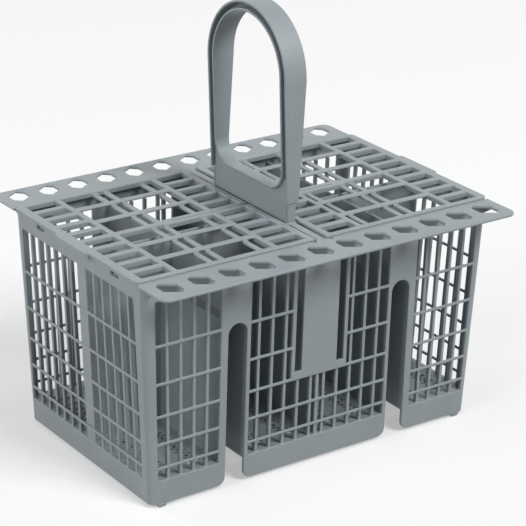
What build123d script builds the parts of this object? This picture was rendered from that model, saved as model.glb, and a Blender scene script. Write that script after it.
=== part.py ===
from build123d import *
import os

# Cutlery basket for a dishwasher: a lattice body, two hinged grid lids and a fixed carrying handle.
# Millimetres. X runs from left to right, Y from front to back and Z up. The origin lies under the middle
# of the basket, on the surface that the feet stand on.

# Overall sizes
flange_length = 245.8
flange_depth = 189.4
rim_height = 139.8
handle_rise = 123.5

# Walls of the body, which lean in towards the foot
top_length = 242.0
top_depth = 141.0
lower_length = 228.0
lower_depth = 135.8
wall = 2.2
corner_radius = 5.0
skirt_height = 12.8
floor_thickness = 2.0

# Lattice in the walls: flat bars in the outer layer of a wall cross upright bars in its inner layer, and
# the rows of openings above the lowest one grow taller from row to row
bar_width = 2.0
bar_height = 1.8
bar_depth = 1.1
top_band = 12.0
row_count = 5
lowest_row = 22.78
row_growth = 1.16
corner_post = 7.1
corner_post_foot = 5.3
outer_columns = 5
middle_pitch = 9.4
middle_bars = 5
side_front_post = 8.8
side_back_post = 5.6
side_front_columns = 6
side_back_columns = 7
side_band = 9.4

# Plain tongue in the middle of the front and back walls, with a slot on each side of it
tongue_width = 25.0
slot_width = 4.8
slot_frame = 2.5
slot_ledge = 3.4
slot_flare = 4.0
tongue_rows = 3

# Tunnels that run from front to back and are open below
tunnel_x = 57.75
tunnel_width = 12.9
tunnel_drop = 37.5
tunnel_wall = 2.0
strip_inner = 2.5
strip_outer = 4.8
skirt_round = 5.0

# Partitions between the compartments
divider_y = -2.2
divider = 1.8
middle_wall = 2.4
partition_drop = 5.8
drain_count = 2
drain_bar = 12.0
drain_margin = 8.0

# Flanges, their slanted holes and their corner gussets
flange_thickness = 2.2
flange_round = 5.5
pocket_lip = 0.9
hole_count = 12
hole_end_inset = 12.9
front_hole_inset = 14.7
back_hole_inset = 10.5
hole_half_width = 6.0
hole_half_length = 8.4
hole_tip_x = 2.4
hole_side_near = 3.2
hole_side_far = 5.0
gusset_x = 117.0
gusset_reach = 9.0
gusset_height = 7.0
gusset_thickness = 2.0

# Feet
foot_height = 2.2
foot_x = 106.5
foot_root = 6.8
foot_tip = 4.0

# Lids
lid_rise = 1.1
lid_gap = 0.4
lid_thickness = 3.2
lid_corner = 2.0
lid_frame = 3.5
lid_bar = 3.6
lid_bar_depth = 1.6
hinge_band = 4.3
large_column = 22.0
narrow_column = 4.0
large_rows = 3
large_row_bar = 4.1
slot_rows = 5
slot_row_bar = 4.0
split_bar = 7.2
split_width = 1.2
split_end = 57.0
seat_gap = 0.15
seat_thickness = 2.15
step_gap = 0.7
edge_frame = 0.7

# Lid hinge: a half-round pin at each end of the inner edge, in a notch of the body that is open at the top
hinge_x = 5.8
pin_radius = 0.9
pin_length = 2.7
pin_clearance = 0.06
notch_end_gap = 0.3
boss_half_length = 9.5
boss_drop = 4.6

# Finger tab and catches at the outer edge of a lid, and the windows that the catches look out of
tab_length = 35.0
tab_reach = 2.0
tab_chamfer = 1.2
tab_drop = 3.6
catch_y = 40.5
catch_length = 8.0
catch_thickness = 1.5
catch_drop = 6.2
window_height = 2.4
window_drop = 4.5

# Rib between the lids, and the two posts on it that hold the foot of the handle
rib_width = 6.2
rib_drop = 13.8
post_width = 5.3
post_thickness = 2.0
post_rise = 12.0
post_gap = 0.2

# Handle
grip_length = 79.0
grip_depth = 6.3
band = 1.6
web = 3.0
plate_length = 73.2
plate_thickness = 5.2
plate_rise = 26.0
gap_rise = 18.6
gap_round = 13.0
waist_width = 8.0
grip_width = 15.0
crown_rib = 2.0
tongue_foot_length = 60.0
tongue_foot_thickness = 2.6
tongue_foot_drop = 11.5
tongue_foot_clearance = 0.1

# Levels and places that follow from the sizes above
floor_bottom = foot_height + skirt_height
floor_top = floor_bottom + floor_thickness
lattice_top = rim_height - top_band
partition_top = rim_height - partition_drop
tunnel_top = rim_height - tunnel_drop
tunnel_radius = tunnel_width / 2
tunnel_spring = tunnel_top - tunnel_radius
strip_inner_x = tunnel_x - tunnel_radius - strip_inner
strip_outer_x = tunnel_x + tunnel_radius + strip_outer
slot_frame_x = tongue_width / 2 + slot_width + slot_frame
pocket_half = top_depth / 2 - wall - pocket_lip
lid_half = pocket_half - lid_gap
lid_top = rim_height + lid_rise
lid_bottom = lid_top - lid_thickness
lid_rim_bottom = lid_top - seat_thickness
seat_top = lid_rim_bottom - seat_gap
lid_outer_x = flange_length / 2
lid_step_x = top_length / 2 - wall - step_gap
hinge_z = lid_top - lid_thickness / 2
lid_inner_x = hinge_x - lid_thickness / 2
post_y = plate_length / 2 + post_gap + post_thickness / 2
leg_bottom = rim_height + post_rise + post_gap
grip_half = grip_length / 2
arch_z = rim_height + handle_rise - grip_half
gap_half = grip_half - grip_depth
hole_pitch = (flange_length - 2 * hole_end_inset) / (hole_count - 1)
front_hole_y = front_hole_inset - flange_depth / 2
back_hole_y = flange_depth / 2 - back_hole_inset
beyond = 2 * flange_length


def half_size(lower, top, z, inset):
    """Half of the body's length or depth at height z, taken in by inset."""
    share = (z - foot_height) / (rim_height - foot_height)
    return (lower + (top - lower) * share) / 2 - inset


def leaning_outline(lower, top, low, high, inset):
    """Corners of the body's outline seen from the front or the side, from low to high."""
    low_half = half_size(lower, top, low, inset)
    high_half = half_size(lower, top, high, inset)
    return [(-low_half, low), (low_half, low), (high_half, high), (-high_half, high)]


def leaning_block(low, high, inset):
    """Solid that the body's leaning walls enclose, taken in by inset."""
    with BuildPart() as block:
        with BuildSketch(Plane.XZ):
            Polygon(*leaning_outline(lower_length, top_length, low, high, inset), align=None)
        extrude(amount=beyond, both=True)
        with BuildSketch(Plane.YZ):
            Polygon(*leaning_outline(lower_depth, top_depth, low, high, inset), align=None)
        extrude(amount=beyond, both=True, mode=Mode.INTERSECT)
        upright = block.edges().filter_by(lambda edge: abs(edge.tangent_at(0.5).Z) > 0.9)
        if inset == 0:
            fillet(upright, corner_radius)
        else:
            # Flat across the corner, which touches a round there at its middle
            chamfer(upright, (corner_radius - inset) * (2 - 2**0.5))
    return block.part


def span_face(x_span, y_span):
    """Rectangular face between two bounds each way."""
    corners = [(x_span[0], y_span[0]), (x_span[1], y_span[0]), (x_span[1], y_span[1]), (x_span[0], y_span[1])]
    return Polygon(*corners, align=None, mode=Mode.PRIVATE)


def mirrored_span(span):
    """The same bounds on the other side of zero."""
    return (-span[1], -span[0])


def evenly(start, end, count, bar):
    """Bounds of equal openings from start to end, with a bar between neighbours."""
    width = (end - start - (count - 1) * bar) / count
    return [(start + i * (width + bar), start + i * (width + bar) + width) for i in range(count)]


def lattice_rows():
    """Bounds of the lattice's rows of openings, from the floor up."""
    growing = row_count - 1
    first = (lattice_top - floor_top - lowest_row) * (row_growth - 1) / (row_growth**growing - 1)
    levels = [floor_top, floor_top + lowest_row]
    for row in range(growing):
        levels.append(levels[-1] + first * row_growth**row)
    spans = []
    for row in range(row_count):
        low = levels[row] + (bar_height / 2 if row > 0 else 0)
        high = levels[row + 1] - (bar_height / 2 if row < growing else 0)
        spans.append((low, high))
    return spans


def both_sides(corners):
    """A face and its mirror image on the other side of the middle."""
    return [
        Polygon(*[(side * x, z) for x, z in corners], align=None, mode=Mode.PRIVATE)
        for side in (-1, 1)
    ]


def corner_edge(z):
    """Outer end of the front lattice at height z, beside the corner post."""
    share = (z - floor_top) / (lattice_top - floor_top)
    post = corner_post_foot + (corner_post - corner_post_foot) * share
    return half_size(lower_length, top_length, z, post)


def front_rows():
    """Openings between the flat bars of the front wall."""
    faces = []
    for row, (low, high) in enumerate(lattice_rows()):
        outer_low = [(strip_outer_x, low), (corner_edge(low), low)]
        outer_high = [(corner_edge(high), high), (strip_outer_x, high)]
        faces += both_sides(outer_low + outer_high)
        if row < row_count - tongue_rows:
            faces.append(span_face((-strip_inner_x, strip_inner_x), (low, high)))
            continue
        corners = [(slot_frame_x, low), (strip_inner_x, low), (strip_inner_x, high)]
        if row < row_count - 1:
            corners.append((slot_frame_x, high))
        else:
            corners += [(slot_frame_x + slot_flare, high), (slot_frame_x, high - slot_flare)]
        faces += both_sides(corners)
    return faces


def front_columns():
    """Openings between the upright bars of the front wall."""
    faces = []
    low_spans = evenly(strip_outer_x, corner_edge(floor_top), outer_columns, bar_width)
    high_spans = evenly(strip_outer_x, corner_edge(lattice_top), outer_columns, bar_width)
    for low, high in zip(low_spans, high_spans):
        foot = [(low[0], floor_top), (low[1], floor_top)]
        faces += both_sides(foot + [(high[1], lattice_top), (high[0], lattice_top)])
    bars = [(i + 0.5) * middle_pitch for i in range(middle_bars)]
    edges = bars + [strip_inner_x + bar_width / 2]
    below_tongue = lattice_rows()[row_count - tongue_rows - 1][1]
    half = bars[0] - bar_width / 2
    faces.append(span_face((-half, half), (floor_top, below_tongue)))
    for low, high in zip(edges, edges[1:]):
        column = (low + bar_width / 2, high - bar_width / 2)
        beside = (max(column[0], slot_frame_x), column[1])
        spans = [(column, (floor_top, below_tongue))]
        if beside[1] - beside[0] > bar_width:
            spans.append((beside, (below_tongue, lattice_top)))
        for x_span, z_span in spans:
            faces += [span_face(x_span, z_span), span_face(mirrored_span(x_span), z_span)]
    return faces


def tongue_slots():
    """Slots on both sides of the plain tongue, right through the wall."""
    slot_bottom = lattice_rows()[row_count - tongue_rows][0] + slot_ledge
    slot = (tongue_width / 2, tongue_width / 2 + slot_width)
    z_span = (slot_bottom, lattice_top)
    return [span_face(slot, z_span), span_face(mirrored_span(slot), z_span)]


def side_span():
    """Bounds of the lattice in a side wall, between its front and back posts."""
    front_start = -half_size(lower_depth, top_depth, floor_top, side_front_post)
    return (front_start, half_size(lower_depth, top_depth, floor_top, side_back_post))


def side_rows():
    """Openings between the flat bars of a side wall, which run across its plain band."""
    return [span_face(side_span(), row) for row in lattice_rows()]


def side_columns():
    """Openings between the upright bars of a side wall, in front of and behind its plain band."""
    start, end = side_span()
    columns = evenly(start, divider_y - side_band / 2, side_front_columns, bar_width)
    columns += evenly(divider_y + side_band / 2, end, side_back_columns, bar_width)
    return [span_face(column, (floor_top, lattice_top)) for column in columns]


def catch_windows():
    """Windows in a side wall that the catches of a lid look out of."""
    window_z = rim_height - window_drop
    z_span = (window_z - window_height / 2, window_z + window_height / 2)
    y_span = (catch_y - catch_length / 2, catch_y + catch_length / 2)
    return [span_face(y_span, z_span), span_face(mirrored_span(y_span), z_span)]


def drain_faces():
    """Drain slots in the floor of the eight compartments."""
    inner_end = tunnel_x - tunnel_radius - tunnel_wall - drain_margin
    outer_start = tunnel_x + tunnel_radius + tunnel_wall + drain_margin
    outer_end = half_size(lower_length, top_length, floor_bottom, wall + drain_margin)
    depth_end = half_size(lower_depth, top_depth, floor_bottom, wall + drain_margin)
    columns = evenly(middle_wall / 2 + drain_margin, inner_end, drain_count, drain_bar)
    columns += evenly(outer_start, outer_end, drain_count, drain_bar)
    columns += [mirrored_span(column) for column in columns]
    divider_edge = divider / 2 + drain_margin
    runs = [(-depth_end, divider_y - divider_edge), (divider_y + divider_edge, depth_end)]
    return [span_face(column, run) for column in columns for run in runs]


def flange_holes(side, hole_y):
    """Row of slanted six-sided holes at hole_y in the front (-1) or the back (1) flange."""
    half = [
        (-hole_half_width, -hole_side_near),
        (-hole_half_width, hole_side_far),
        (-hole_tip_x, hole_half_length),
    ]
    corners = half + [(-x, -y) for x, y in half]
    faces = []
    for index in range(hole_count):
        x = (index - (hole_count - 1) / 2) * hole_pitch
        moved = [(x + corner_x, hole_y - side * corner_y) for corner_x, corner_y in corners]
        faces.append(Polygon(*moved, align=None, mode=Mode.PRIVATE))
    return faces


def lid_columns():
    """Bounds of the right lid's columns of openings from the hinge out: slots, four of cells, slots."""
    first = lid_inner_x + hinge_band
    slot_column = (lid_step_x - edge_frame - first) / 2 - large_column - narrow_column - 2.5 * lid_bar
    spans = []
    for width in (slot_column, narrow_column, large_column, narrow_column, large_column, slot_column):
        spans.append((first, first + width))
        first += width + lid_bar
    return spans


def lid_half_face(x_span, y_span):
    """An opening of the right lid, clear of its middle bar, and its mirror image in the other half."""
    bar = split_bar if x_span[0] < split_end else large_row_bar
    y_span = (max(y_span[0], bar / 2), y_span[1])
    return [span_face(x_span, y_span), span_face(x_span, mirrored_span(y_span))]


def lid_through_faces():
    """Openings right through the right lid: the slots of its first and last columns, and the split."""
    columns = lid_columns()
    faces = [span_face((0, split_end), (-split_width / 2, split_width / 2))]
    for row in evenly(slot_row_bar / 2, lid_half - lid_frame, slot_rows, slot_row_bar):
        faces += lid_half_face(columns[0], row) + lid_half_face(columns[-1], row)
    return faces


def lid_cell_rows():
    """Openings between the right lid's cross bars, which lie on top of the long ones."""
    cells = lid_columns()[1:-1]
    beyond_split = [column for column in cells if column[0] > split_end][0][0]
    faces = []
    for row in evenly(large_row_bar / 2, lid_half - lid_frame, large_rows, large_row_bar):
        faces += lid_half_face((cells[0][0], beyond_split), row)
        faces += lid_half_face((beyond_split, cells[-1][1]), row)
    return faces


def lid_cell_columns():
    """Openings between the right lid's long bars, under the cross bars."""
    faces = []
    for column in lid_columns()[1:-1]:
        faces += lid_half_face(column, (0, lid_half - lid_frame))
    return faces


# Outline of the two tunnels seen from the front, with rounded corners at their feet
with BuildSketch(Plane.XZ) as tunnels:
    for side in (-1, 1):
        with Locations((side * tunnel_x, tunnel_spring / 2)):
            Rectangle(tunnel_width, tunnel_spring)
        with Locations((side * tunnel_x, tunnel_spring)):
            Circle(tunnel_radius)
        with BuildSketch(Plane.XY, mode=Mode.PRIVATE) as tunnel_foot:
            with Locations((side * tunnel_x, foot_height + skirt_round / 2)):
                Rectangle(tunnel_width + 2 * skirt_round, skirt_round)
            for edge in (-1, 1):
                corner_x = side * tunnel_x + edge * (tunnel_radius + skirt_round)
                with Locations((corner_x, foot_height + skirt_round)):
                    Circle(skirt_round, mode=Mode.SUBTRACT)
        add(tunnel_foot.sketch)


def wall_layer(outer_inset, inner_inset, front_openings, side_openings):
    """Layer of the leaning walls between two insets, with its openings, tunnel mouths and lid seats."""
    outer = leaning_block(foot_height, rim_height, outer_inset)
    inner = leaning_block(0, rim_height + foot_height, inner_inset)
    with BuildPart() as layer:
        add(outer)
        add(inner, mode=Mode.SUBTRACT)
        with BuildSketch(Plane.XZ):
            add(tunnels.sketch_local)
            add(front_openings + tongue_slots())
        extrude(amount=top_depth, both=True, mode=Mode.SUBTRACT)
        with BuildSketch(Plane.YZ):
            add(side_openings + catch_windows())
        extrude(amount=top_length, both=True, mode=Mode.SUBTRACT)
        with BuildSketch(Plane.XZ):
            seat = (lid_step_x, lid_outer_x)
            seat_room = (seat_top, seat_top + rim_height)
            add([span_face(seat, seat_room), span_face(mirrored_span(seat), seat_room)])
        extrude(amount=pocket_half, both=True, mode=Mode.SUBTRACT)
    return layer.part


outer_layer = wall_layer(0, bar_depth, front_rows(), side_rows())
inner_layer = wall_layer(bar_depth, wall, front_columns(), side_columns())

# What stands inside the walls: floor, dividers, tunnel linings, and the rib with its bosses and posts
with BuildPart() as inner_parts:
    with BuildSketch(Plane.XY.offset(floor_bottom)):
        Rectangle(top_length, top_depth)
        add(drain_faces(), mode=Mode.SUBTRACT)
    extrude(amount=floor_thickness)
    with BuildSketch(Plane.XY.offset(floor_bottom)):
        with Locations((0, divider_y)):
            Rectangle(top_length, divider)
        with Locations((-tunnel_x, 0), (tunnel_x, 0)):
            Rectangle(divider, top_depth)
        Rectangle(middle_wall, top_depth)
    extrude(amount=partition_top - floor_bottom)
    with BuildSketch(Plane.XZ):
        for side in (-1, 1):
            roof = tunnel_top + tunnel_wall
            with Locations((side * tunnel_x, (floor_bottom + roof) / 2)):
                Rectangle(tunnel_width + 2 * tunnel_wall, roof - floor_bottom)
        with Locations((0, rim_height)):
            Rectangle(rib_width, rib_drop, align=(Align.CENTER, Align.MAX))
    extrude(amount=top_depth / 2, both=True)
    boss_length = (top_depth - wall) / 2 - pocket_half
    with BuildSketch(Plane.XY.offset(rim_height)):
        with Locations((0, -pocket_half - boss_length / 2), (0, pocket_half + boss_length / 2)):
            Rectangle(2 * boss_half_length, boss_length)
    extrude(amount=-boss_drop)
    with BuildSketch(Plane.XZ):
        add(tunnels.sketch_local)
    extrude(amount=top_depth, both=True, mode=Mode.SUBTRACT)
    add(leaning_block(foot_height, rim_height, bar_depth), mode=Mode.INTERSECT)
    with BuildSketch(Plane.XY.offset(rim_height)):
        with Locations((0, -post_y), (0, post_y)):
            Rectangle(post_width, post_thickness)
    extrude(amount=post_rise)
    with BuildSketch(Plane.XY.offset(rim_height)):
        Rectangle(tongue_foot_thickness + 2 * tongue_foot_clearance, tongue_foot_length + 2 * post_gap)
    extrude(amount=-tongue_foot_drop - post_gap, mode=Mode.SUBTRACT)

# Flanges with their holes and gussets
with BuildPart() as rim:
    with BuildSketch(Plane.XY.offset(rim_height - flange_thickness)) as flanges:
        flange_middle = (flange_depth / 2 + pocket_half) / 2
        with Locations((0, -flange_middle), (0, flange_middle)):
            Rectangle(flange_length, flange_depth / 2 - pocket_half)
        fillet(flanges.vertices().group_by(Axis.Y)[0], flange_round)
        fillet(flanges.vertices().group_by(Axis.Y)[-1], flange_round)
        add(flange_holes(-1, front_hole_y) + flange_holes(1, back_hole_y), mode=Mode.SUBTRACT)
    extrude(amount=flange_thickness)
    with BuildSketch(Plane.YZ, mode=Mode.PRIVATE) as gusset_outline:
        root = half_size(lower_depth, top_depth, rim_height, wall / 2)
        top = rim_height - flange_thickness / 2
        tip = root + wall / 2 + gusset_reach
        for side in (-1, 1):
            Polygon((side * root, top), (side * tip, top), (side * root, top - gusset_height), align=None)
    for side in (-1, 1):
        with BuildSketch(Plane.YZ.offset(side * gusset_x)):
            add(gusset_outline.sketch_local)
        extrude(amount=gusset_thickness / 2, both=True)

# Feet under the front and back skirts
with BuildPart() as feet:
    for side in (-1, 1):
        with BuildSketch(Plane.XZ.offset(side * (lower_depth - wall) / 2)):
            for foot_side in (-1, 1):
                x = foot_side * foot_x
                Polygon(
                    (x - foot_tip / 2, 0),
                    (x + foot_tip / 2, 0),
                    (x + foot_root / 2, foot_height),
                    (x - foot_root / 2, foot_height),
                    align=None,
                )
        extrude(amount=wall / 2, both=True)

with BuildPart() as basket_body:
    add([outer_layer, inner_layer, inner_parts.part, rim.part, feet.part])
    # Notches of the hinge pins
    with BuildSketch(Plane.XZ):
        notch_half = pin_radius + pin_clearance
        notch = (hinge_x - notch_half, hinge_x + notch_half)
        notch_room = (hinge_z - notch_half, lid_top)
        add([span_face(notch, notch_room), span_face(mirrored_span(notch), notch_room)])
    extrude(amount=lid_half + pin_length + notch_end_gap, both=True, mode=Mode.SUBTRACT)
basket_body.part.label = "basket_body"

with BuildPart() as right_lid:
    # Plate with the thin rim at its outer edge
    with BuildSketch(Plane.XZ):
        add(span_face((lid_inner_x, lid_step_x), (lid_bottom, lid_top)))
        add(span_face((lid_step_x, lid_outer_x), (lid_rim_bottom, lid_top)))
    extrude(amount=lid_half, both=True)
    chamfer(right_lid.edges().filter_by(Axis.Z).group_by(Axis.X)[-1], lid_corner)
    # Grid of cross bars on top and long bars below
    with BuildSketch(Plane.XY.offset(lid_top)):
        add(lid_through_faces() + lid_cell_rows())
    extrude(amount=-lid_bar_depth, mode=Mode.SUBTRACT)
    with BuildSketch(Plane.XY.offset(lid_bottom)):
        add(lid_through_faces() + lid_cell_columns())
    extrude(amount=lid_thickness - lid_bar_depth, mode=Mode.SUBTRACT)
    # Half-round hinge pins, flat on top
    for side in (-1, 1):
        with BuildSketch(Plane.XZ.offset(side * lid_half)):
            with Locations((hinge_x, hinge_z)):
                Circle(pin_radius)
                Rectangle(2 * pin_radius, pin_radius, align=(Align.CENTER, Align.MIN), mode=Mode.SUBTRACT)
        extrude(amount=side * pin_length)
    # Finger tab and catches
    with BuildSketch(Plane.XY.offset(lid_top)) as tab:
        add(span_face((lid_outer_x, lid_outer_x + tab_reach), (-tab_length / 2, tab_length / 2)))
        chamfer(tab.vertices().group_by(Axis.X)[-1], tab_chamfer)
    extrude(amount=-tab_drop)
    with BuildSketch(Plane.XY.offset(rim_height - catch_drop)):
        for side in (-1, 1):
            y_span = (side * catch_y - catch_length / 2, side * catch_y + catch_length / 2)
            add(span_face((lid_step_x - catch_thickness, lid_step_x), y_span))
    extrude(amount=lid_bottom - rim_height + catch_drop)
right_lid.part.label = "right_lid"

with BuildPart() as left_lid:
    mirror(right_lid.part, about=Plane.YZ)
left_lid.part.label = "left_lid"

# Finger gap of the handle and the same outline grown by one band
with BuildSketch(Plane.YZ) as finger_gap:
    gap_bottom = rim_height + gap_rise
    add(span_face((-gap_half, gap_half), (gap_bottom, arch_z)))
    fillet(finger_gap.vertices().group_by(Axis.Y)[0], gap_round)
    with Locations((0, arch_z)):
        Circle(gap_half)

with BuildPart() as handle:
    # Two bands round the grip, wider across at the top than at the waist
    with BuildSketch(Plane.YZ):
        add(span_face((-grip_half, grip_half), (leg_bottom, arch_z)))
        with Locations((0, arch_z)):
            Circle(grip_half)
        add(span_face((band - grip_half, grip_half - band), (leg_bottom - band, arch_z)), mode=Mode.SUBTRACT)
        with Locations((0, arch_z)):
            Circle(grip_half - band, mode=Mode.SUBTRACT)
        with BuildSketch(Plane.XY, mode=Mode.PRIVATE) as inner_band:
            offset(finger_gap.sketch_local, amount=band)
            add(finger_gap.sketch_local, mode=Mode.SUBTRACT)
        add(inner_band.sketch)
    extrude(amount=grip_width / 2, both=True)
    with BuildSketch(Plane.XZ):
        Polygon(
            (-waist_width / 2, rim_height + post_rise),
            (waist_width / 2, rim_height + post_rise),
            (grip_width / 2, arch_z),
            (grip_width / 2, rim_height + handle_rise),
            (-grip_width / 2, rim_height + handle_rise),
            (-grip_width / 2, arch_z),
            align=None,
        )
    extrude(amount=grip_length, both=True, mode=Mode.INTERSECT)
    # Web between the bands
    with BuildSketch(Plane.YZ):
        inner_half = grip_half - band / 2
        add(span_face((-inner_half, inner_half), (leg_bottom, arch_z)))
        with Locations((0, arch_z)):
            Circle(inner_half)
        add(finger_gap.sketch_local, mode=Mode.SUBTRACT)
    extrude(amount=web / 2, both=True)
    # Foot plate between the posts, and the tongue below it in the slot of the rib
    with BuildSketch(Plane.YZ):
        add(span_face((-plate_length / 2, plate_length / 2), (rim_height, rim_height + plate_rise)))
        add(finger_gap.sketch_local, mode=Mode.SUBTRACT)
    extrude(amount=plate_thickness / 2, both=True)
    with BuildSketch(Plane.YZ):
        half = tongue_foot_length / 2
        add(span_face((-half, half), (rim_height - tongue_foot_drop, rim_height + tongue_foot_thickness)))
    extrude(amount=tongue_foot_thickness / 2, both=True)
    # Short rib across the groove at the crown
    with BuildSketch(Plane.YZ):
        crown_low = arch_z + gap_half
        crown_span = (crown_low + band / 2, crown_low + grip_depth - band / 2)
        add(span_face((-crown_rib / 2, crown_rib / 2), crown_span))
    extrude(amount=plate_thickness / 2, both=True)
handle.part.label = "handle"

os.makedirs("parts", exist_ok=True)
export_step(basket_body.part, "parts/basket_body.step")
export_step(right_lid.part, "parts/right_lid.step")
export_step(left_lid.part, "parts/left_lid.step")
export_step(handle.part, "parts/handle.step")
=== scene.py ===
from itertools import product
from math import cos, radians, sin

import bmesh
import bpy
from mathutils import Matrix, Vector


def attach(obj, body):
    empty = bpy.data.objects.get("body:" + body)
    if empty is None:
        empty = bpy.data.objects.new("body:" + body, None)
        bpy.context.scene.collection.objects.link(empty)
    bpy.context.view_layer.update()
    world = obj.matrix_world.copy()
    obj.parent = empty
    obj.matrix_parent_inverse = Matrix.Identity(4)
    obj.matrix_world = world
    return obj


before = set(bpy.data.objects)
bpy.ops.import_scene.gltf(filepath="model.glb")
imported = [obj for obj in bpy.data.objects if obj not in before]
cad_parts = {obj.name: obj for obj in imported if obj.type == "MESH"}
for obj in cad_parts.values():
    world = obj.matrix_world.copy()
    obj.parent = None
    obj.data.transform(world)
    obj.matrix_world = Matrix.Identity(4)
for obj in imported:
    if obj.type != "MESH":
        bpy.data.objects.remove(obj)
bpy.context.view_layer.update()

# The part's meshes get grey plastic and soft edges. The lattice's finest bars, which would take the part
# past its limit of triangles, are added here, with a grate in the floor and the noses of the lids' catches.
# Metres, in the frame of the part: X runs from left to right, Y from front to back and Z up.

# Camera: where it stands, which way it looks, how far it is rolled, and lens and sensor in millimetres
CAMERA_PLACE = Vector((-0.7068, -1.0028, 0.6074))
CAMERA_LOOK = Vector((0.53654, 0.75296, -0.38102))
CAMERA_ROLL = radians(1.2)
CAMERA_LENS = 152.7
SENSOR_WIDTH = 36.0

# Soft edges of the mouldings: the radius below a level, above it, and on the outer lip above it
EDGES = {
    "basket_body": {"level": 0.1350, "lower": 0.00045, "upper": 0.0007, "lip": 0.0010},
    "left_lid": {"level": 0.1388, "lower": 0.0003, "upper": 0.0007, "lip": 0.0007},
    "right_lid": {"level": 0.1388, "lower": 0.0003, "upper": 0.0007, "lip": 0.0007},
    "handle": {"level": 0.1398, "lower": 0.0003, "upper": 0.0006, "lip": 0.0006},
}
# Beyond these distances from the middle, along the length and the depth, an edge belongs to the lip
LIP_LENGTH = 0.1215
LIP_DEPTH = 0.0890
# Edges that are sharper than this angle and longer than this length are rounded, once points that lie
# closer than the merge distance have been joined
EDGE_ANGLE = radians(35)
EDGE_LENGTH = 0.0002
EDGE_SEGMENTS = 3
MERGE_DISTANCE = 0.00013

# The body's walls lean: half of its length and depth at the foot and at the rim
FOOT_LEVEL = 0.0022
RIM_LEVEL = 0.1398
FOOT_HALF = (0.1140, 0.0679)
RIM_HALF = (0.1210, 0.0705)
WALL_THICKNESS = 0.0022
BASKET_FLOOR_BOTTOM = 0.0150
BASKET_FLOOR_TOP = 0.0170
# Tunnels on both sides of the middle, and the two walls between the compartments
TUNNEL_PLACE = 0.05775
TUNNEL_HALF = 0.00645
TUNNEL_WALL_THICKNESS = 0.0020
MIDDLE_WALL_THICKNESS = 0.0024
DIVIDER_PLACE = -0.0022
DIVIDER_THICKNESS = 0.0018

# Lattice of the walls: its top, the foot of the plain tongue in the front wall, the strips beside the
# tunnels, and the posts and the band between the panels
LATTICE_TOP = 0.1278
TONGUE_BOTTOM = 0.0563
STRIP_INNER = 0.0025
STRIP_OUTER = 0.0048
STRIP_INNER_EDGE = TUNNEL_PLACE - TUNNEL_HALF - STRIP_INNER
STRIP_OUTER_EDGE = TUNNEL_PLACE + TUNNEL_HALF + STRIP_OUTER
CORNER_POST_FOOT = 0.0053
CORNER_POST_TOP = 0.0071
SIDE_FRONT_POST = 0.0088
SIDE_BACK_POST = 0.0056
SIDE_BAND = 0.0094
# Upright bars: their width, the number of openings between them, and the pitch and number of those on each
# side of the middle of the front wall
UPRIGHT_WIDTH = 0.0020
SIDE_FRONT_COLUMNS = 6
SIDE_BACK_COLUMNS = 7
OUTER_COLUMNS = 5
MIDDLE_PITCH = 0.0094
MIDDLE_BARS = 5
BARS_BELOW_TONGUE = 2

# Lowest flat bar: the level of its middle, its section, how far its ends run into the posts beside it and
# how far it lies behind their faces
LOW_BAR_LEVEL = 0.0248
LOW_BAR_HEIGHT = 0.0018
LOW_BAR_DEPTH = 0.0011
LOW_BAR_END = 0.0008
LOW_BAR_SINK = 0.00004

# Ribs that make the upright bars deeper than the wall: their width, where they start and end behind the
# wall's face, and the level of their foot, just inside the floor
RIB_WIDTH = 0.0019
RIB_DEPTHS = (0.0014, 0.0036)
RIB_FOOT = 0.0168

# Noses of the catches in the windows of the side walls: how far a window lies from the middle, the ends of
# a nose along the wall from there, its lower and upper level, how far out it reaches at each, and its root
CATCH_PLACE = 0.0405
NOSE_SPAN = (-0.0037, 0.0020)
NOSE_LEVELS = (0.13445, 0.13615)
NOSE_REACHES = (0.1196, 0.1204)
NOSE_ROOT = 0.1175

# Drain slots of the floor: the margin around them, and how many lie side by side with a bar between them
DRAIN_MARGIN = 0.0080
DRAIN_COUNT = 2
DRAIN_BAR = 0.0120
# Grate in the slots: its two levels, the width and pitch of its bars, and how far they run into the floor
GRATE_LEVELS = (0.01510, 0.01695)
GRATE_BAR = 0.0018
GRATE_PITCH = 0.0043
GRATE_END = 0.0008

# Grey polypropylene, in linear colour: clouds of a darker grey, a fine speckle in colour and gloss, and a
# moulded grain
GREY = (0.312, 0.350, 0.368, 1.0)
GREY_SHADE = (0.286, 0.324, 0.342, 1.0)
CLOUDS = {"Scale": 28.0, "Detail": 4.0, "Roughness": 0.55}
CLOUD_RANGE = (0.35, 0.65)
SPECKLE = {"Scale": 900.0, "Detail": 2.0, "Roughness": 0.6}
SPECKLE_RANGE = (0.3, 0.7)
SPECKLE_SHARE = 0.10
SATIN = 0.40
SATIN_SPREAD = 0.06
GRAIN = {"Scale": 1600.0, "Detail": 3.0, "Roughness": 0.65}
GRAIN_STRENGTH = 0.12
GRAIN_DEPTH = 0.0002
# How far the texture moves from one moulding to the next, and the share of it along each axis
TEXTURE_STEP = 0.37
TEXTURE_SHARES = (1.0, 0.7, 0.3)
# Numbers of a mix node's sockets for colours, whose names its other sockets share
MIX_SHARE = 0
MIX_FIRST = 6
MIX_SECOND = 7
MIX_RESULT = 2

# Stage: the floor is white to the eye, with a shadow, and throws only a little light up at the object
WHITE = (1.0, 1.0, 1.0, 1.0)
FLOOR_COLOUR = (0.62, 0.62, 0.62, 1.0)
FLOOR_GLOW = 0.40
FLOOR_BOUNCE = (0.32, 0.32, 0.32, 1.0)
FLOOR_REACH = 6.0
WORLD_COLOUR = (0.96, 0.98, 1.0, 1.0)
WORLD_STRENGTH = 0.14
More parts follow.
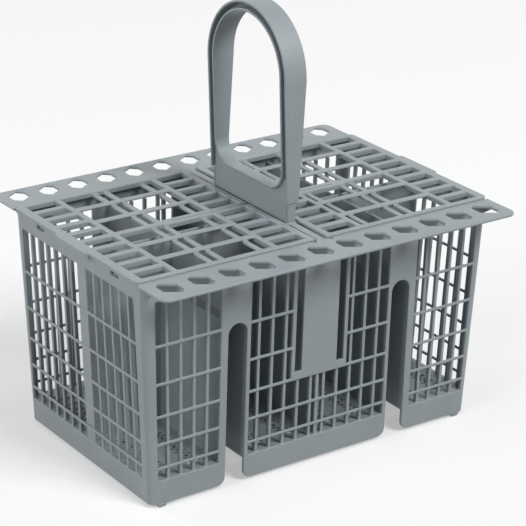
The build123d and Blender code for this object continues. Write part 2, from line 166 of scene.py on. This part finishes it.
# Lamps: place, size, and power in watts
LAMP_AIM = (0.0, 0.0, 0.12)
LAMPS = (
    ("front", (1.2, -4.1, 4.4), 2.4, 268),
    ("left", (-5.2, -0.4, 2.6), 3.0, 135),
    ("right", (5.4, 0.2, 2.4), 3.0, 65),
    ("back", (-2.4, 5.3, 2.4), 3.0, 95),
)


def node_maker(tree):
    """Returns a function that adds a shader node, with socket values given by name."""
    def make(kind, **values):
        node = tree.nodes.new(kind)
        for name, value in values.items():
            node.inputs[name.replace("_", " ")].default_value = value
        return node
    return make


def math_maker(tree):
    """Returns a function that adds a math node to sockets or numbers and gives its result."""
    def calculate(operation, *values):
        node = tree.nodes.new("ShaderNodeMath")
        node.operation = operation
        for socket, value in zip(node.inputs, values):
            if isinstance(value, float):
                socket.default_value = value
            else:
                tree.links.new(value, socket)
        return node.outputs[0]
    return calculate


def empty_material(name):
    """Material with no nodes, and its node tree."""
    material = bpy.data.materials.new(name)
    material.use_nodes = True
    material.node_tree.nodes.clear()
    return material, material.node_tree


def grey_plastic(name, seed):
    """Satin moulded plastic: faint clouds of colour, uneven gloss and a fine moulded grain."""
    material, tree = empty_material(name)
    make = node_maker(tree)
    link = tree.links.new
    place = make("ShaderNodeTexCoord")
    moved = make("ShaderNodeMapping", Location=[seed * share for share in TEXTURE_SHARES])
    clouds = make("ShaderNodeTexNoise", **CLOUDS)
    speckle = make("ShaderNodeTexNoise", **SPECKLE)
    grain = make("ShaderNodeTexNoise", **GRAIN)
    tint = make("ShaderNodeValToRGB")
    for stop, position, colour in zip(tint.color_ramp.elements, CLOUD_RANGE, (GREY_SHADE, GREY)):
        stop.position = position
        stop.color = colour
    fleck = make("ShaderNodeMix")
    fleck.data_type = "RGBA"
    fleck.blend_type = "OVERLAY"
    fleck.inputs[MIX_SHARE].default_value = SPECKLE_SHARE
    gloss = make(
        "ShaderNodeMapRange",
        From_Min=SPECKLE_RANGE[0],
        From_Max=SPECKLE_RANGE[1],
        To_Min=SATIN - SATIN_SPREAD,
        To_Max=SATIN + SATIN_SPREAD,
    )
    bump = make("ShaderNodeBump", Strength=GRAIN_STRENGTH, Distance=GRAIN_DEPTH)
    shader = make("ShaderNodeBsdfPrincipled")
    output = make("ShaderNodeOutputMaterial")
    link(place.outputs["Object"], moved.inputs["Vector"])
    for texture in (clouds, speckle, grain):
        link(moved.outputs["Vector"], texture.inputs["Vector"])
    link(clouds.outputs["Fac"], tint.inputs["Fac"])
    link(tint.outputs["Color"], fleck.inputs[MIX_FIRST])
    link(speckle.outputs["Color"], fleck.inputs[MIX_SECOND])
    link(fleck.outputs[MIX_RESULT], shader.inputs["Base Color"])
    link(speckle.outputs["Fac"], gloss.inputs["Value"])
    link(gloss.outputs["Result"], shader.inputs["Roughness"])
    link(grain.outputs["Fac"], bump.inputs["Height"])
    link(bump.outputs["Normal"], shader.inputs["Normal"])
    link(shader.outputs["BSDF"], output.inputs["Surface"])
    return material


def geometry_group(name):
    """Empty node group for a modifier, with the nodes at its two ends."""
    group = bpy.data.node_groups.new(name, "GeometryNodeTree")
    group.interface.new_socket("Geometry", in_out="INPUT", socket_type="NodeSocketGeometry")
    group.interface.new_socket("Geometry", in_out="OUTPUT", socket_type="NodeSocketGeometry")
    return group, group.nodes.new("NodeGroupInput"), group.nodes.new("NodeGroupOutput")


def edge_group(name, edges):
    """Node group that marks the long sharp edges for rounding, by their share of the lip's radius."""
    group, entry, leave = geometry_group(name)
    calculate = math_maker(group)
    make = group.nodes.new
    link = group.links.new
    angle = make("GeometryNodeInputMeshEdgeAngle")
    ends = make("GeometryNodeInputMeshEdgeVertices")
    length = make("ShaderNodeVectorMath")
    length.operation = "DISTANCE"
    link(ends.outputs["Position 1"], length.inputs[0])
    link(ends.outputs["Position 2"], length.inputs[1])
    place = make("GeometryNodeInputPosition")
    middle = make("ShaderNodeSeparateXYZ")
    link(place.outputs["Position"], middle.inputs["Vector"])
    sharp = calculate("GREATER_THAN", angle.outputs["Unsigned Angle"], EDGE_ANGLE)
    long = calculate("GREATER_THAN", length.outputs["Value"], EDGE_LENGTH)
    above = calculate("GREATER_THAN", middle.outputs["Z"], edges["level"])
    past_end = calculate("GREATER_THAN", calculate("ABSOLUTE", middle.outputs["X"]), LIP_LENGTH)
    past_side = calculate("GREATER_THAN", calculate("ABSOLUTE", middle.outputs["Y"]), LIP_DEPTH)
    lip = calculate("MULTIPLY", above, calculate("MAXIMUM", past_end, past_side))
    radius = calculate("MULTIPLY_ADD", above, edges["upper"] - edges["lower"], edges["lower"])
    radius = calculate("MULTIPLY_ADD", lip, edges["lip"] - edges["upper"], radius)
    share = calculate("DIVIDE", radius, edges["lip"])
    store = make("GeometryNodeStoreNamedAttribute")
    store.data_type = "FLOAT"
    store.domain = "EDGE"
    store.inputs["Name"].default_value = "bevel_weight_edge"
    link(calculate("MULTIPLY", share, calculate("MULTIPLY", sharp, long)), store.inputs["Value"])
    link(entry.outputs[0], store.inputs["Geometry"])
    link(store.outputs["Geometry"], leave.inputs[0])
    return group


def smooth_group():
    """Node group that shades every face smooth."""
    group, entry, leave = geometry_group("shade_smooth")
    smooth = group.nodes.new("GeometryNodeSetShadeSmooth")
    group.links.new(entry.outputs[0], smooth.inputs["Geometry"])
    group.links.new(smooth.outputs["Geometry"], leave.inputs[0])
    return group


def soften(obj, edges, smooth):
    """Rounds the sharp edges of a moulding and shades the rest smooth."""
    weld = obj.modifiers.new("weld", "WELD")
    weld.merge_threshold = MERGE_DISTANCE
    marks = obj.modifiers.new("sharp_edges", "NODES")
    marks.node_group = edge_group(f"edges_{obj.name}", edges)
    rounds = obj.modifiers.new("soft_edges", "BEVEL")
    rounds.width = edges["lip"]
    rounds.segments = EDGE_SEGMENTS
    rounds.limit_method = "WEIGHT"
    rounds.use_clamp_overlap = False
    rounds.loop_slide = False
    shade = obj.modifiers.new("smooth", "NODES")
    shade.node_group = smooth
    obj.modifiers.new("flat_shading", "WEIGHTED_NORMAL")


def wall_half(axis, level):
    """Half of the body's length (axis 0) or depth (axis 1) at a level."""
    share = (level - FOOT_LEVEL) / (RIM_LEVEL - FOOT_LEVEL)
    return FOOT_HALF[axis] + (RIM_HALF[axis] - FOOT_HALF[axis]) * share


def wall_point(axis, side, along, level, depth):
    """Point of a side wall (axis 0) or a front or back wall (axis 1), by its depth behind the face."""
    across = side * (wall_half(axis, level) - depth)
    return (across, along, level) if axis == 0 else (along, across, level)


def corner_edge(level):
    """Outer end of the front lattice at a level, beside the corner post, which widens upwards."""
    share = (level - BASKET_FLOOR_TOP) / (LATTICE_TOP - BASKET_FLOOR_TOP)
    post = CORNER_POST_FOOT + (CORNER_POST_TOP - CORNER_POST_FOOT) * share
    return wall_half(0, level) - post


def side_span():
    """Bounds of the lattice in a side wall, between its front and back posts."""
    half = wall_half(1, BASKET_FLOOR_TOP)
    return (SIDE_FRONT_POST - half, half - SIDE_BACK_POST)


def even_spans(start, end, count, bar):
    """Bounds of equal openings from start to end, with a bar between neighbours."""
    width = (end - start - (count - 1) * bar) / count
    starts = [start + i * (width + bar) for i in range(count)]
    return [(low, low + width) for low in starts]


def bars_between(start, end, count):
    """Middles of the upright bars between equal openings."""
    spans = even_spans(start, end, count, UPRIGHT_WIDTH)
    return [(before[1] + after[0]) / 2 for before, after in zip(spans, spans[1:])]


def around(middle, width):
    """Bounds on both sides of a middle, by the width between them."""
    return (middle - width / 2, middle + width / 2)


def add_bar(shape, corners):
    """Adds one straight bar with these corners to a mesh."""
    bmesh.ops.convex_hull(shape, input=[shape.verts.new(corner) for corner in corners])


def low_bars():
    """Lowest flat bars of all four walls."""
    shape = bmesh.new()
    outer_end = corner_edge(LOW_BAR_LEVEL)
    front_panels = (
        (-outer_end, -STRIP_OUTER_EDGE),
        (-STRIP_INNER_EDGE, STRIP_INNER_EDGE),
        (STRIP_OUTER_EDGE, outer_end),
    )
    levels = around(LOW_BAR_LEVEL, LOW_BAR_HEIGHT)
    depths = (LOW_BAR_SINK, LOW_BAR_SINK + LOW_BAR_DEPTH)
    for axis, panels in ((0, (side_span(),)), (1, front_panels)):
        for side, (start, end) in product((-1, 1), panels):
            ends = (start - LOW_BAR_END, end + LOW_BAR_END)
            corners = product(ends, levels, depths)
            add_bar(shape, [wall_point(axis, side, *corner) for corner in corners])
    return shape


def side_uprights():
    """Upright bars of a side wall: the middle at the foot and at the top, and the top's level."""
    start, end = side_span()
    front_end, back_start = around(DIVIDER_PLACE, SIDE_BAND)
    middles = bars_between(start, front_end, SIDE_FRONT_COLUMNS)
    middles += bars_between(back_start, end, SIDE_BACK_COLUMNS)
    return [(middle, middle, LATTICE_TOP) for middle in middles]


def front_uprights():
    """Upright bars of the front wall: the middle at the foot and at the top, and the top's level."""
    half = []
    for i in range(MIDDLE_BARS):
        middle = (i + 0.5) * MIDDLE_PITCH
        half.append((middle, middle, TONGUE_BOTTOM if i < BARS_BELOW_TONGUE else LATTICE_TOP))
    feet = bars_between(STRIP_OUTER_EDGE, corner_edge(BASKET_FLOOR_TOP), OUTER_COLUMNS)
    tops = bars_between(STRIP_OUTER_EDGE, corner_edge(LATTICE_TOP), OUTER_COLUMNS)
    half += [(foot, top, LATTICE_TOP) for foot, top in zip(feet, tops)]
    return half + [(-foot, -top, level) for foot, top, level in half]


def upright_ribs():
    """Ribs behind the upright bars of all four walls."""
    shape = bmesh.new()
    for axis, uprights in ((0, side_uprights()), (1, front_uprights())):
        for side, (foot, top, level) in product((-1, 1), uprights):
            corners = []
            for middle, height in ((foot, RIB_FOOT), (top, level)):
                for along, depth in product(around(middle, RIB_WIDTH), RIB_DEPTHS):
                    corners.append(wall_point(axis, side, along, height, depth))
            add_bar(shape, corners)
    return shape


def drain_columns():
    """Bounds of the drain slots along the length, from the middle outwards."""
    tunnel_half = TUNNEL_HALF + TUNNEL_WALL_THICKNESS + DRAIN_MARGIN
    inner_start = MIDDLE_WALL_THICKNESS / 2 + DRAIN_MARGIN
    outer_end = wall_half(0, BASKET_FLOOR_BOTTOM) - WALL_THICKNESS - DRAIN_MARGIN
    columns = even_spans(inner_start, TUNNEL_PLACE - tunnel_half, DRAIN_COUNT, DRAIN_BAR)
    return columns + even_spans(TUNNEL_PLACE + tunnel_half, outer_end, DRAIN_COUNT, DRAIN_BAR)


def drain_runs():
    """Bounds of the drain slots along the depth, in front of the divider and behind it."""
    end = wall_half(1, BASKET_FLOOR_BOTTOM) - WALL_THICKNESS - DRAIN_MARGIN
    front_end, back_start = around(DIVIDER_PLACE, DIVIDER_THICKNESS + 2 * DRAIN_MARGIN)
    return [(-end, front_end), (back_start, end)]


def floor_grate():
    """Bars across and along every drain slot."""
    shape = bmesh.new()
    for side, column, run in product((-1, 1), drain_columns(), drain_runs()):
        across = (side * (column[0] - GRATE_END), side * (column[1] + GRATE_END))
        along = (run[0] - GRATE_END, run[1] + GRATE_END)
        middle = side * (column[0] + column[1]) / 2
        add_bar(shape, product(around(middle, GRATE_BAR), along, GRATE_LEVELS))
        length = run[1] - run[0]
        count = int(length / GRATE_PITCH)
        for i in range(count):
            place = run[0] + length * (i + 1) / (count + 1)
            add_bar(shape, product(across, around(place, GRATE_BAR), GRATE_LEVELS))
    return shape


def catch_noses(side):
    """Noses of the two catches of a lid, on the left (side -1) or on the right."""
    shape = bmesh.new()
    for middle in (-CATCH_PLACE, CATCH_PLACE):
        corners = []
        for level, reach in zip(NOSE_LEVELS, NOSE_REACHES):
            for across, along in product((NOSE_ROOT, reach), NOSE_SPAN):
                corners.append((side * across, middle + along, level))
        add_bar(shape, corners)
    return shape


def add_piece(name, shape, material, body):
    """Adds a mesh that belongs to the moulding of a body."""
    mesh = bpy.data.meshes.new(name)
    shape.to_mesh(mesh)
    shape.free()
    mesh.materials.append(material)
    piece = bpy.data.objects.new(name, mesh)
    bpy.context.scene.collection.objects.link(piece)
    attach(piece, body)
    return piece


def dress():
    """Gives each moulding its material and soft edges, and adds the finest bars and the noses."""
    smooth = smooth_group()
    greys = {}
    for index, (name, edges) in enumerate(EDGES.items()):
        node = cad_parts[name]
        greys[name] = grey_plastic(f"grey_{name}", TEXTURE_STEP * (index + 1))
        node.data.materials.clear()
        node.data.materials.append(greys[name])
        soften(node, edges, smooth)
    grey = greys["basket_body"]
    for name, shape in (("lowest_bars", low_bars()), ("upright_ribs", upright_ribs())):
        soften(add_piece(name, shape, grey, "basket"), EDGES["basket_body"], smooth)
    add_piece("floor_grate", floor_grate(), grey, "basket")
    for side, lid in ((-1, "left_lid"), (1, "right_lid")):
        noses = add_piece(f"{lid}_noses", catch_noses(side), greys[lid], lid)
        soften(noses, EDGES[lid], smooth)


def split_by_ray(tree, light, view):
    """Socket of a mixed shader: view where it is seen, straight or mirrored, and light where it lights."""
    calculate = math_maker(tree)
    path = tree.nodes.new("ShaderNodeLightPath")
    mirrored = calculate("MAXIMUM", path.outputs["Is Glossy Ray"], path.outputs["Is Transmission Ray"])
    seen = calculate("MAXIMUM", path.outputs["Is Camera Ray"], mirrored)
    mix = tree.nodes.new("ShaderNodeMixShader")
    for socket, source in zip(mix.inputs, (seen, light.outputs[0], view.outputs[0])):
        tree.links.new(source, socket)
    return mix.outputs[0]


def floor_material():
    """Matt floor, paler to the eye than it is for the light that it throws back."""
    material, tree = empty_material("floor")
    make = node_maker(tree)
    bounce = make("ShaderNodeBsdfDiffuse", Color=FLOOR_BOUNCE)
    pale = make("ShaderNodeBsdfDiffuse", Color=FLOOR_COLOUR)
    glow = make("ShaderNodeEmission", Color=WHITE, Strength=FLOOR_GLOW)
    white = make("ShaderNodeAddShader")
    output = make("ShaderNodeOutputMaterial")
    tree.links.new(pale.outputs[0], white.inputs[0])
    tree.links.new(glow.outputs[0], white.inputs[1])
    tree.links.new(split_by_ray(tree, bounce, white), output.inputs["Surface"])
    return material


def add_floor():
    """Pale floor under the feet."""
    mesh = bpy.data.meshes.new("floor")
    reach = FLOOR_REACH
    corners = [(-reach, -reach, 0), (reach, -reach, 0), (reach, reach, 0), (-reach, reach, 0)]
    mesh.from_pydata(corners, [], [(0, 1, 2, 3)])
    floor = bpy.data.objects.new("floor", mesh)
    mesh.materials.append(floor_material())
    bpy.context.scene.collection.objects.link(floor)


def add_lamp(name, place, size, power):
    """Soft square lamp that shines at the middle of the basket."""
    light = bpy.data.lights.new(name, "AREA")
    light.size = size
    light.energy = power
    lamp = bpy.data.objects.new(name, light)
    lamp.location = place
    lamp.rotation_euler = (Vector(LAMP_AIM) - Vector(place)).to_track_quat("-Z", "Y").to_euler()
    bpy.context.scene.collection.objects.link(lamp)


def add_world():
    """Even surrounding light, which is white to the eye."""
    world = bpy.data.worlds.new("studio")
    world.use_nodes = True
    tree = world.node_tree
    tree.nodes.clear()
    make = node_maker(tree)
    light = make("ShaderNodeBackground", Color=WORLD_COLOUR, Strength=WORLD_STRENGTH)
    white = make("ShaderNodeBackground", Color=WHITE)
    output = make("ShaderNodeOutputWorld")
    tree.links.new(split_by_ray(tree, light, white), output.inputs["Surface"])
    bpy.context.scene.world = world


def add_camera():
    """Camera at the photograph's angle."""
    data = bpy.data.cameras.new("camera")
    data.lens = CAMERA_LENS
    data.sensor_width = SENSOR_WIDTH
    camera = bpy.data.objects.new("camera", data)
    look = CAMERA_LOOK.normalized()
    level = look.cross(Vector((0, 0, 1))).normalized()
    upright = level.cross(look)
    right = level * cos(CAMERA_ROLL) + upright * sin(CAMERA_ROLL)
    up = right.cross(look)
    turned = Matrix((right, up, -look)).transposed().to_4x4()
    camera.matrix_world = Matrix.Translation(CAMERA_PLACE) @ turned
    bpy.context.scene.collection.objects.link(camera)
    bpy.context.scene.camera = camera


dress()
add_floor()
add_world()
for lamp in LAMPS:
    add_lamp(*lamp)
add_camera()
bpy.context.scene.view_settings.view_transform = "Standard"
